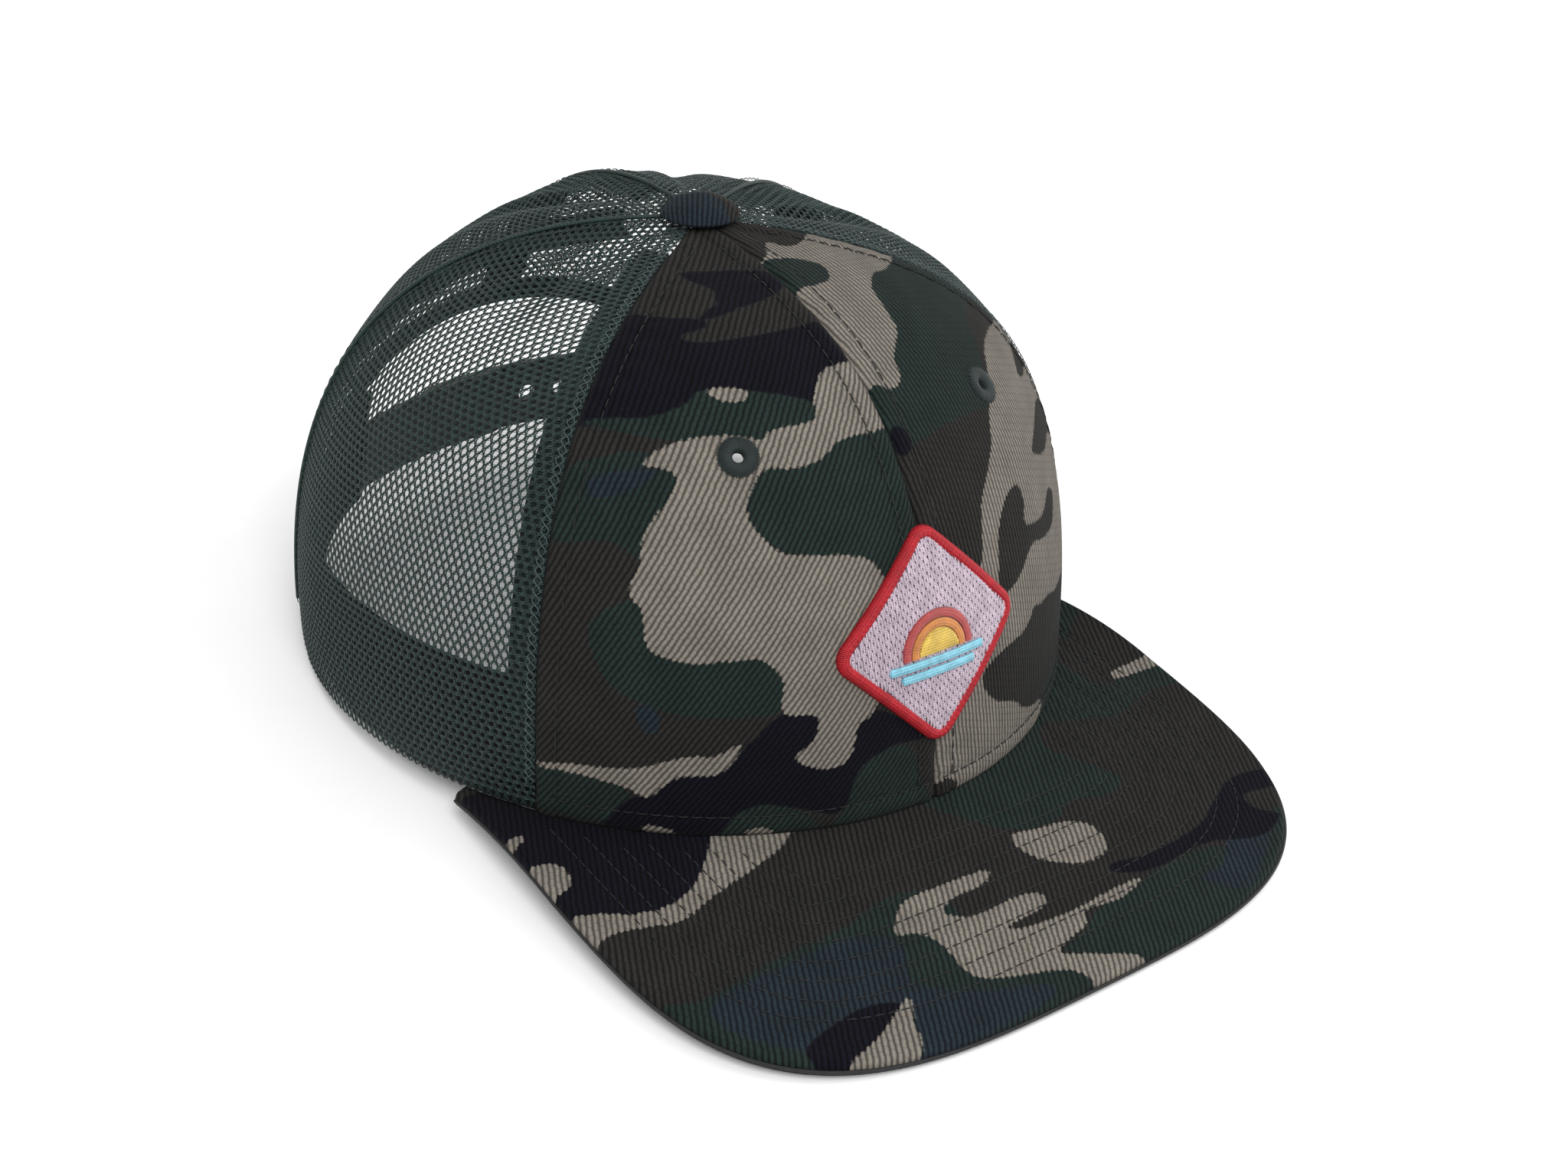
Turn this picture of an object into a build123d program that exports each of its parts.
"""A six-panel trucker cap: two stiff front panels, four mesh panels, a flat visor and a snap strap.

The cap is drawn in its own crown frame: +Z up the crown, the visor towards -Y, the wearer's left
towards +X, and the seam where the crown meets the visor at height 0. Places on the crown are
given by an angle round it (0 at the front, 180 at the back) and a climb (0 at the base, 1 at the
button). At the end the whole cap is stood on a floor the way it lies on a table.
"""
import os
from math import atan, cos, degrees, radians, sin, sqrt, tan

from build123d import *

# ---- crown: overall sizes ----
crown_front = 101.6
crown_rear = 98.6
crown_half_width = 93.3
crown_height = 110.4
apex_y = -6.2
# How each panel curves from base to button. Each value changes round the crown as
# first + second * cos(angle) + third * cos(2 * angle).
lower_pull = (0.70, 0.13, -0.07)
upper_pull = (0.69, -0.03, -0.01)
wall_bulge = (0.02, -0.01, -0.04)
shoulder_lift = (0.00, -0.09, 0.04)
# The base edge climbs towards the back, where the strap is.
rear_rise = 15.0
rise_from_angle = 104.0
rise_to_angle = 150.0

# ---- panels ----
front_seam_angle = 57.0
rear_seam_angle = 118.0
front_cloth = 0.9
mesh_cloth = 0.8
stiffener_thickness = 0.8
stiffener_foot = 0.02
stiffener_top = 0.86
stiffener_margin = 0.5
layer_gap = 0.1
tape_gap = 0.2
seam_gap = 0.25
panel_top_radius = 3.6

# ---- seam tapes and sweatband ----
tape_width = 14.0
tape_thickness = 0.5
tape_top_radius = 18.0
tape_foot_climb = 0.03
sweatband_thickness = 1.1
sweatband_height = 32.0
sweatband_peek = 2.0
sweatband_end_gap = 1.5

# ---- visor ----
visor_length = 57.2
visor_side_inset = 2.5
visor_half_width = crown_half_width - visor_side_inset
visor_widest_y = -82.0
visor_corner_power = 3.34
visor_droop = 10.0
visor_droop_start = 0.7
visor_arm_angle = 11.3
visor_arm_power = 1.6
visor_arm_tip = 2.4
visor_tuck = 1.5
visor_cloth = 0.5
visor_board_thickness = 2.2
visor_board_hem = 1.2
visor_seam_gap = 0.15

# ---- opening at the back and the snap strap ----
opening_half_width = 49.0
opening_straight = 31.0
opening_top = 57.0
binding_width = 6.0
binding_proud = 0.3
binding_thickness = 1.3
binding_reach_climb = 0.1
strap_width = 20.0
strap_thickness = 1.2
strap_bend_radius = 120.0
strap_lean = 9.0
strap_inset = 1.1
strap_gap = 0.2
strap_tip_margin = 6.2
strap_tip_corner = 8.0
strap_edge_gap = 1.2
hinge_gap = 0.3
sewn_tab_length = 9.0
sewn_tab_thickness = 0.6
snap_pitch = 10.5
first_snap_x = 1.7
engaged_snaps = 3
free_snaps = 3
hole_radius = 2.4
peg_neck_radius = 1.3
peg_head_radius = 1.6
peg_head_height = 0.6
peg_proud = 0.35
peg_root_room = 5.0
# The sweatband lies inside both sewn ends of the strap.
sweatband_inset = strap_inset + strap_thickness + strap_gap + sewn_tab_thickness + strap_gap

# ---- top button ----
button_radius = 9.5
button_height = 4.2
button_lift = 1.4
button_cloth = 0.6
button_shell_wall = 0.5
button_stem_radius = 1.5
button_back_radius = 8.0
button_back_drop = 3.2
button_back_thickness = 0.8

# ---- eyelets and patch ----
eyelet_angle = 29.3
eyelet_height = 82.8
eyelet_radius = 4.6
eyelet_hole_radius = 1.3
eyelet_proud = 0.5
eyelet_fit = 0.15
eyelet_cut_length = 12.0
patch_side = 38.5
patch_corner = 5.0
patch_turn = 45.0
patch_height = 41.0
patch_cloth = 1.1
patch_border_width = 2.6
patch_border_proud = 0.5
patch_reach = 26.0
patch_spread = 1.25
patch_spare = 1.3
motif_gap = 0.05
motif_thickness = 0.5
motif_sun_radius = 5.6
motif_ring_width = 2.2
motif_ring_gap = 0.15
motif_horizon = -3.5
motif_wave_height = 1.9
motif_wave_pitch = 2.6
motif_wave_start = 0.7
motif_wave_end = 0.45
motif_wave_widths = (27.0, 21.0)

# ---- drawing aids ----
angle_step = 0.4
climb_step = 0.002
surface_fit = 0.01
long_cut = 60.0


# ================= crown surface =================

def blend(values, angle):
    """One of the crown's shape values at this angle."""
    turn = radians(angle)
    return values[0] + values[1] * cos(turn) + values[2] * cos(2 * turn)


def base_outline(angle):
    """The crown's outline at the base, as x and y."""
    turn = radians(angle)
    depth = crown_front if cos(turn) > 0 else crown_rear
    return crown_half_width * sin(turn), -depth * cos(turn)


def outer_point(angle, climb):
    """A point on the outside of the crown."""
    x_base, y_base = base_outline(angle)
    left = 1 - climb
    weights = left**3, 3 * left**2 * climb, 3 * left * climb**2, climb**3
    spread = weights[0] + weights[1] * (1 + blend(wall_bulge, angle))
    spread += weights[2] * blend(upper_pull, angle)
    height = weights[1] * blend(lower_pull, angle)
    height += weights[2] * (1 + blend(shoulder_lift, angle)) + weights[3]
    return Vector(x_base * spread, apex_y + (y_base - apex_y) * spread, crown_height * height)


def outward(angle, climb):
    """The direction that points straight out of the crown."""
    along = outer_point(angle + angle_step, climb) - outer_point(angle - angle_step, climb)
    up = outer_point(angle, climb + climb_step) - outer_point(angle, climb - climb_step)
    return along.cross(up).normalized()


def crown_point(angle, climb, inset=0.0):
    return outer_point(angle, climb) - outward(angle, climb) * inset


def find_climb(is_below, low=-0.15, high=0.999):
    """The climb where is_below(climb) turns from true to false."""
    for _ in range(40):
        middle = (low + high) / 2
        if is_below(middle):
            low = middle
        else:
            high = middle
    return low


def climb_at_height(angle, height):
    return find_climb(lambda climb: outer_point(angle, climb).Z < height, high=0.8)


def radius_at(angle, climb):
    place = outer_point(angle, climb)
    return sqrt(place.X**2 + (place.Y - apex_y) ** 2)


def climb_at_radius(angle, radius):
    return find_climb(lambda climb: radius_at(angle, climb) > radius, low=0.5)


def base_rise(angle):
    """How far the base edge has climbed at this angle."""
    part = (abs(angle) - rise_from_angle) / (rise_to_angle - rise_from_angle)
    part = min(max(part, 0.0), 1.0)
    return rear_rise * part * part * (3 - 2 * part)


def base_climb_at(angle, above=0.0):
    return climb_at_height(angle, base_rise(angle) + above)


def widen(angle, climb, width):
    """The turn, in degrees, that goes this width along the crown."""
    return degrees(width / radius_at(angle, climb))


def closed_sheet(top, bottom):
    """A thin solid between two grids of points, closed round its edges."""
    faces = [Face.make_surface_from_array_of_points(grid, tol=surface_fit, min_deg=3, max_deg=3)
             for grid in (top, bottom)]
    pairs = zip(faces[0].edges(), faces[1].edges())
    sides = [Face.make_surface_from_curves(above, below) for above, below in pairs]
    return Solid(Shell(faces + sides))


def crown_sheet(place, inset, thickness, across=12, up=14):
    """A sheet that follows the crown. place(i, j) gives its angle and climb for i, j in 0..1."""
    top, bottom = [], []
    for column in range(across + 1):
        spots = [place(column / across, row / up) for row in range(up + 1)]
        top.append([crown_point(angle, climb, inset) for angle, climb in spots])
        bottom.append([crown_point(angle, climb, inset + thickness) for angle, climb in spots])
    return closed_sheet(top, bottom)


visor_thickness = 2 * visor_cloth + visor_board_thickness + 2 * layer_gap


def mirrored(shape):
    return mirror(shape, about=Plane.YZ)


# ================= panels =================

def panel_place(angle_from, angle_to, top_radius=panel_top_radius):
    """Places for a panel between two seams, from the base edge to the button."""
    def place(i, j):
        rough = angle_from + (angle_to - angle_from) * i
        low, high = base_climb_at(rough), climb_at_radius(rough, top_radius)
        climb = low + (high - low) * j
        edge = widen(rough, min(climb, 0.9), seam_gap / 2)
        return angle_from + edge + (angle_to - angle_from - 2 * edge) * i, climb
    return place


def front_panel():
    panel = crown_sheet(panel_place(0, front_seam_angle), 0, front_cloth)
    return (panel - eyelet_core(eyelet_radius + eyelet_fit)).solid()


def stiffener():
    side_room = tape_width / 2 + stiffener_margin

    def place(i, j):
        climb = stiffener_foot + (stiffener_top - stiffener_foot) * j
        inner = widen(0, climb, seam_gap)
        outer = front_seam_angle - widen(front_seam_angle, climb, side_room)
        return inner + (outer - inner) * i, climb
    sheet = crown_sheet(place, front_cloth + layer_gap, stiffener_thickness)
    return (sheet - eyelet_core(eyelet_radius + eyelet_fit)).solid()


def side_mesh():
    return crown_sheet(panel_place(front_seam_angle, rear_seam_angle), 0, mesh_cloth)


def rear_mesh():
    panel = crown_sheet(panel_place(rear_seam_angle, 180), 0, mesh_cloth, across=16)
    return (panel - opening_cut(binding_width)).solid()


def seam_tape(seam_angle, inset, bottom=None):
    """A tape of even width along a seam, on the inside."""
    def place(i, j):
        low = tape_foot_climb + base_climb_at(seam_angle) if bottom is None else bottom
        climb = low + (climb_at_radius(seam_angle, tape_top_radius) - low) * j
        return seam_angle + widen(seam_angle, climb, tape_width / 2) * (2 * i - 1), climb
    return crown_sheet(place, inset, tape_thickness, across=4)


def sweatband():
    """The band that touches the head, from one strap end round the front to the other."""
    reach = opening_angle() - widen(opening_angle(), 0, sweatband_end_gap)

    def place(i, j):
        angle = reach * (2 * i - 1)
        low, high = base_climb_at(angle, -sweatband_peek), base_climb_at(angle, sweatband_height)
        return angle, low + (high - low) * j
    return crown_sheet(place, sweatband_inset, sweatband_thickness, across=48, up=6)


# ================= opening at the back =================

def angle_at_x(x, height, inset=0.0):
    """The angle at the back of the crown where a point at this height is this far to the left."""
    low, high = 95.0, 180.0
    for _ in range(30):
        middle = (low + high) / 2
        if crown_point(middle, climb_at_height(middle, height), inset).X > x:
            low = middle
        else:
            high = middle
    return low


def opening_angle():
    """The angle where the opening's upright edge meets the crown."""
    return angle_at_x(opening_half_width, opening_straight)


def opening_cut(grown=0.0):
    """The half-moon opening as a cutter, made larger all round by the width given."""
    half = opening_half_width + grown
    arch = Ellipse(half, opening_top - opening_straight + grown)
    legs = Pos(0, -long_cut / 2) * Rectangle(2 * half, long_cut)
    outline = Pos(0, opening_straight) * (arch + legs)
    upright = Plane(origin=(0, crown_rear / 2, 0), x_dir=(-1, 0, 0), z_dir=(0, 1, 0))
    return extrude(upright * outline, crown_rear)


def opening_binding():
    """The tape that binds the edge of the opening."""
    reach = 180 - opening_angle() + widen(opening_angle(), binding_reach_climb,
                                          2 * binding_width)
    top = climb_at_height(180, opening_top + 2 * binding_width)

    def place(i, j):
        angle = 180 + reach * (2 * i - 1)
        low = base_climb_at(360 - angle if angle > 180 else angle)
        return angle, low + (top - low) * j
    sheet = crown_sheet(place, -binding_proud, binding_thickness, across=20)
    return ((sheet & opening_cut(binding_width - layer_gap)) - opening_cut()).solid()


# ================= snap strap =================

def strap_hinge():
    """The middle of the holed strap's hinge line, on the wearer's left."""
    middle_inset = strap_inset + strap_thickness / 2
    angle = angle_at_x(opening_half_width - strap_edge_gap, strap_height, middle_inset)
    return crown_point(angle, climb_at_height(angle, strap_height), middle_inset)


strap_height = rear_rise + strap_width / 2
hinge_place = strap_hinge()
strap_centre_y = hinge_place.Y - sqrt(strap_bend_radius**2 - hinge_place.X**2)
peg_bend_radius = strap_bend_radius - strap_thickness - strap_gap
# The straps lean with the back of the crown, about a line across the cap at mid height.
lean = Location((0, hinge_place.Y, strap_height)) * Rot(X=strap_lean)


def strap_angle(x):
    """The turn of a place on the strap from straight back, in degrees."""
    return degrees(atan(x / sqrt(strap_bend_radius**2 - x**2)))


def on_strap(turn, radius):
    """A frame on the strap: its z axis points out of the cap."""
    out = Vector(sin(radians(turn)), cos(radians(turn)), 0)
    place = out * radius + Vector(0, strap_centre_y - hinge_place.Y, 0)
    return Plane(origin=place, x_dir=(out.Y, -out.X, 0), z_dir=out)


def strap_band(radius, hinge_turn, tip_x):
    """A curved band from its hinge bead to its rounded tip, standing upright."""
    hinge = on_strap(hinge_turn, radius).origin
    ring = Circle(radius + strap_thickness / 2) - Circle(radius - strap_thickness / 2)
    centre = Pos(0, strap_centre_y - hinge_place.Y, -strap_width / 2)
    band = extrude(centre * ring, strap_width)
    side = Rectangle(abs(hinge.X - tip_x), strap_width)
    toward_tip = 1 if tip_x > hinge.X else -1
    corners = side.vertices().sort_by(Axis.X)
    tip_corners = corners[-2:] if toward_tip > 0 else corners[:2]
    side = fillet(tip_corners, strap_tip_corner)
    window = Plane(origin=((hinge.X + tip_x) / 2, -long_cut / 2, 0), x_dir=(-1, 0, 0),
                   z_dir=(0, 1, 0))
    window = window * mirror(side, about=Plane.YZ)
    band = band & extrude(window, long_cut)
    bead = Pos(hinge.X, hinge.Y, 0) * Cylinder(strap_thickness / 2, strap_width)
    return band + bead


def snap_turns(first, last):
    """The strap angles of the snaps with these numbers, counted towards the wearer's right."""
    return [strap_angle(first_snap_x - snap_pitch * number) for number in range(first, last)]


def holed_strap():
    """The outer half, sewn on the wearer's left."""
    tip_x = first_snap_x - snap_pitch * (engaged_snaps - 1) - strap_tip_margin
    strap = strap_band(strap_bend_radius, strap_angle(hinge_place.X), tip_x)
    for turn in snap_turns(-free_snaps, engaged_snaps):
        strap -= on_strap(turn, strap_bend_radius) * Cylinder(hole_radius, 3 * strap_thickness)
    return (lean * strap).solid()


def last_peg():
    """The number of the last peg: pegs go on at one pitch as far as the strap's root."""
    return int((hinge_place.X - peg_root_room + first_snap_x) / snap_pitch)


def pegged_strap():
    """The inner half, sewn on the wearer's right, with pegs that point outwards."""
    tip_x = first_snap_x + strap_tip_margin
    strap = strap_band(peg_bend_radius, -strap_angle(hinge_place.X), tip_x)
    face = peg_bend_radius + strap_thickness / 2 - layer_gap
    length = layer_gap + strap_gap + strap_thickness + peg_proud
    base = (Align.CENTER, Align.CENTER, Align.MIN)
    for turn in snap_turns(0, last_peg() + 1):
        foot = on_strap(turn, face)
        strap += foot * Cylinder(peg_neck_radius, length, align=base)
        head = Pos(0, 0, length - peg_head_height)
        strap += foot * head * Cylinder(peg_head_radius, peg_head_height, align=base)
    return (lean * strap).solid()


def sewn_tab(inset):
    """The flat end of a strap half that is sewn in behind the mesh, on the wearer's left."""
    start = hinge_place.X + strap_thickness / 2 + hinge_gap

    def place(i, j):
        height = strap_height - strap_width / 2 + strap_width * j
        angle = angle_at_x(start + sewn_tab_length * i, height, inset)
        return angle, climb_at_height(angle, height)
    return crown_sheet(place, inset, sewn_tab_thickness, across=4, up=6)


# ================= visor =================

def visor_outline():
    """The visor's outer edge, arm tip to arm tip, as evenly spaced points with heights."""
    reach = crown_front + visor_length + visor_widest_y
    end = crown_point(visor_angle(), 0, -visor_arm_tip)
    side = []
    steps = 60
    for number in range(steps):
        part = number / steps
        x = end.X + (visor_half_width - end.X) * (1 - (1 - part) ** visor_arm_power)
        side.append(Vector(x, end.Y + (visor_widest_y - end.Y) * part, part))
    for number in range(steps + 1):
        turn = radians(90 * (1 - number / steps))
        x = visor_half_width * abs(sin(turn)) ** (2 / visor_corner_power)
        y = visor_widest_y - reach * abs(cos(turn)) ** (2 / visor_corner_power)
        side.append(Vector(x, y, 1))
    edge = []
    for place in side:
        drop = (-place.Y - crown_front * visor_droop_start) * tan(radians(visor_droop))
        edge.append(Vector(place.X, place.Y, -drop * place.Z - visor_seam_gap))
    other = [Vector(-place.X, place.Y, place.Z) for place in reversed(edge[:-1])]
    return edge + other


def visor_angle():
    return front_seam_angle + visor_arm_angle


def even_places(points, count):
    """Places evenly spaced along a chain of points."""
    lengths = [0.0]
    for first, second in zip(points, points[1:]):
        lengths.append(lengths[-1] + (second - first).length)
    places, spot = [], 0
    for number in range(count + 1):
        want = lengths[-1] * number / count
        while spot < len(points) - 2 and lengths[spot + 1] < want:
            spot += 1
        part = (want - lengths[spot]) / (lengths[spot + 1] - lengths[spot])
        places.append(points[spot] + (points[spot + 1] - points[spot]) * part)
    return places


def visor_sheet(depth, thickness, hem, across=60, along=6):
    """One layer of the visor, from the crown seam to its outer edge less a hem."""
    outer = even_places(visor_outline(), across)
    top, bottom = [], []
    for number, edge in enumerate(outer):
        angle = visor_angle() * (1 - 2 * number / across)
        root = crown_point(angle, 0, visor_tuck)
        root = Vector(root.X, root.Y, -visor_seam_gap)
        edge = edge - (edge - root).normalized() * hem
        column = [root + (edge - root) * (row / along) for row in range(along + 1)]
        top.append([place - Vector(0, 0, depth) for place in column])
        bottom.append([place - Vector(0, 0, depth + thickness) for place in column])
    return closed_sheet(top, bottom)


# ================= button, eyelets and patch =================

def hollow_dome(radius, height, wall):
    """A low round dome of even wall over the crown's top, open below."""
    curve = (radius**2 + height**2) / (2 * height)
    foot = crown_height + button_lift
    ball = Pos(0, apex_y, foot + height - curve) * (Sphere(curve) - Sphere(curve - wall))
    base = (Align.CENTER, Align.CENTER, Align.MIN)
    return (ball & Pos(0, apex_y, foot) * Cylinder(2 * radius, 2 * height, align=base)).solid()


def button_parts():
    """The cloth cover, the metal shell under it, and the rivet that holds it to the crown."""
    cover = hollow_dome(button_radius, button_height, button_cloth)
    inside = button_cloth + layer_gap
    shell = hollow_dome(button_radius - 2 * inside, button_height - inside, button_shell_wall)
    base = (Align.CENTER, Align.CENTER, Align.MIN)
    foot = crown_height - button_back_drop
    shell_ceiling = button_height - inside - button_shell_wall
    stem_length = button_back_drop + button_lift + shell_ceiling - layer_gap
    rivet = Pos(0, apex_y, foot) * Cylinder(button_stem_radius, stem_length, align=base)
    rivet += Pos(0, apex_y, foot - button_back_thickness) * Cylinder(
        button_back_radius, button_back_thickness, align=base)
    return cover, shell, rivet.solid()


def eyelet_frame():
    climb = climb_at_height(eyelet_angle, eyelet_height)
    out = outward(eyelet_angle, climb)
    return Plane(origin=outer_point(eyelet_angle, climb), z_dir=out)


def eyelet_core(radius):
    return eyelet_frame() * Cylinder(radius, eyelet_cut_length)


def eyelet():
    """A ring of thread through the front panel and its stiffener."""
    depth = front_cloth + layer_gap + stiffener_thickness + 2 * eyelet_proud
    middle = Pos(0, 0, eyelet_proud - depth / 2)
    ring = Cylinder(eyelet_radius, depth) - Cylinder(eyelet_hole_radius, 2 * depth)
    ring = fillet(ring.edges().filter_by(GeomType.CIRCLE), eyelet_proud * 0.9)
    return (eyelet_frame() * middle * ring).solid()


def patch_frame():
    climb = climb_at_height(0, patch_height)
    return Plane(origin=outer_point(0, climb), x_dir=(1, 0, 0), z_dir=outward(0, climb))


def patch_layer(outline, proud_of, thickness):
    """An outline on the patch, pressed on to the curve of the front."""
    def place(i, j):
        angle = degrees(patch_spread * patch_side / crown_front) * (2 * i - 1)
        low = climb_at_height(angle, patch_height - patch_spare * patch_reach)
        high = climb_at_height(angle, patch_height + patch_spare * patch_reach)
        return angle, low + (high - low) * j
    sheet = crown_sheet(place, -proud_of - thickness, thickness)
    cutter = extrude(patch_frame() * outline, patch_reach, both=True)
    return sheet & cutter


def patch_outline(shrink=0.0):
    side = patch_side - 2 * shrink
    return Rot(Z=patch_turn) * RectangleRounded(side, side, patch_corner - shrink)


def patch_border():
    ring = patch_outline() - patch_outline(patch_border_width)
    return patch_layer(ring, layer_gap, patch_cloth + patch_border_proud).solid()


def patch_field():
    return patch_layer(patch_outline(patch_border_width + layer_gap), layer_gap, patch_cloth).solid()


def half_ring(inner, outer):
    """The upper half of a ring, standing on the horizon."""
    ring = Circle(outer) - Circle(inner) if inner > 0 else Circle(outer)
    return Pos(0, motif_horizon) * (ring & Pos(0, outer) * Rectangle(2 * outer, 2 * outer))


def motif_layer(outline):
    return patch_layer(outline, layer_gap + patch_cloth + motif_gap, motif_thickness)


def motif_sun():
    return motif_layer(half_ring(0, motif_sun_radius)).solid()


def motif_rays(number):
    inner = motif_sun_radius + motif_ring_width * number + motif_ring_gap
    return motif_layer(half_ring(inner, inner + motif_ring_width - motif_ring_gap)).solid()


def motif_waves():
    waves = []
    for number, width in enumerate(motif_wave_widths):
        y = motif_horizon - motif_wave_pitch * (number + motif_wave_start)
        bar = Pos(0, y) * RectangleRounded(width, motif_wave_height,
                                           motif_wave_height * motif_wave_end)
        waves.append(motif_layer(bar).solid())
    return Compound(waves)


# ================= the whole cap =================

def rest_tilt():
    """The turn that sets the visor's tip and the sides of the base edge on one floor."""
    tip = visor_outline()[len(visor_outline()) // 2]
    tip_height = tip.Z - visor_thickness
    slopes = []
    for angle in range(60, 181):
        edge = crown_point(angle, base_climb_at(angle, -sweatband_peek), sweatband_inset)
        slopes.append((edge.Z - tip_height) / (edge.Y - tip.Y))
    return degrees(atan(min(slopes)))


def build():
    stiffener_back = front_cloth + layer_gap + stiffener_thickness
    tape_foot = climb_at_height(180, opening_top + binding_width + tape_gap)
    pieces = {
        "front_centre_seam_tape": seam_tape(0, stiffener_back + tape_gap),
        "rear_centre_seam_tape": seam_tape(180, mesh_cloth + tape_gap, tape_foot),
        "sweatband": sweatband(),
        "rear_opening_binding": opening_binding(),
        "snap_strap_with_holes": holed_strap(),
        "snap_strap_with_pegs": pegged_strap(),
        "strap_sewn_end_holes": sewn_tab(strap_inset),
        "strap_sewn_end_pegs": mirrored(sewn_tab(strap_inset + strap_thickness + strap_gap)),
        "visor_top_fabric": visor_sheet(0, visor_cloth, 0),
        "visor_board": visor_sheet(visor_cloth + layer_gap, visor_board_thickness, visor_board_hem),
        "visor_bottom_fabric": visor_sheet(visor_thickness - visor_cloth, visor_cloth, 0),
        "patch_border": patch_border(),
        "patch_field": patch_field(),
        "patch_sun": motif_sun(),
        "patch_ray_inner": motif_rays(0),
        "patch_ray_outer": motif_rays(1),
        "patch_waves": motif_waves(),
    }
    button = button_parts()
    for name, shape in zip(("top_button_cover", "top_button_shell", "top_button_rivet"), button):
        pieces[name] = shape
    pairs = {
        "front_panel": front_panel(),
        "front_stiffener": stiffener(),
        "side_mesh_panel": side_mesh(),
        "rear_mesh_panel": rear_mesh(),
        "front_side_seam_tape": seam_tape(front_seam_angle, front_cloth + tape_gap),
        "side_rear_seam_tape": seam_tape(rear_seam_angle, mesh_cloth + tape_gap),
        "eyelet": eyelet(),
    }
    for name, shape in pairs.items():
        pieces[name + "_left"] = shape
        pieces[name + "_right"] = mirrored(shape)
    return pieces


def stand(pieces):
    """The cap as it lies on a floor, with the middle of its box's bottom face at the origin."""
    tilted = Compound([Rot(X=-rest_tilt()) * shape for shape in pieces.values()])
    box = tilted.bounding_box()
    shift = Pos(-box.center().X, -box.center().Y, -box.min.Z)
    return shift * Rot(X=-rest_tilt())


if __name__ == "__main__":
    os.makedirs("parts", exist_ok=True)
    cap = build()
    place = stand(cap)
    for node, shape in cap.items():
        export_step(place * shape, f"parts/{node}.step")
    print("nodes", len(cap), "rest tilt", round(rest_tilt(), 3), "place", place)
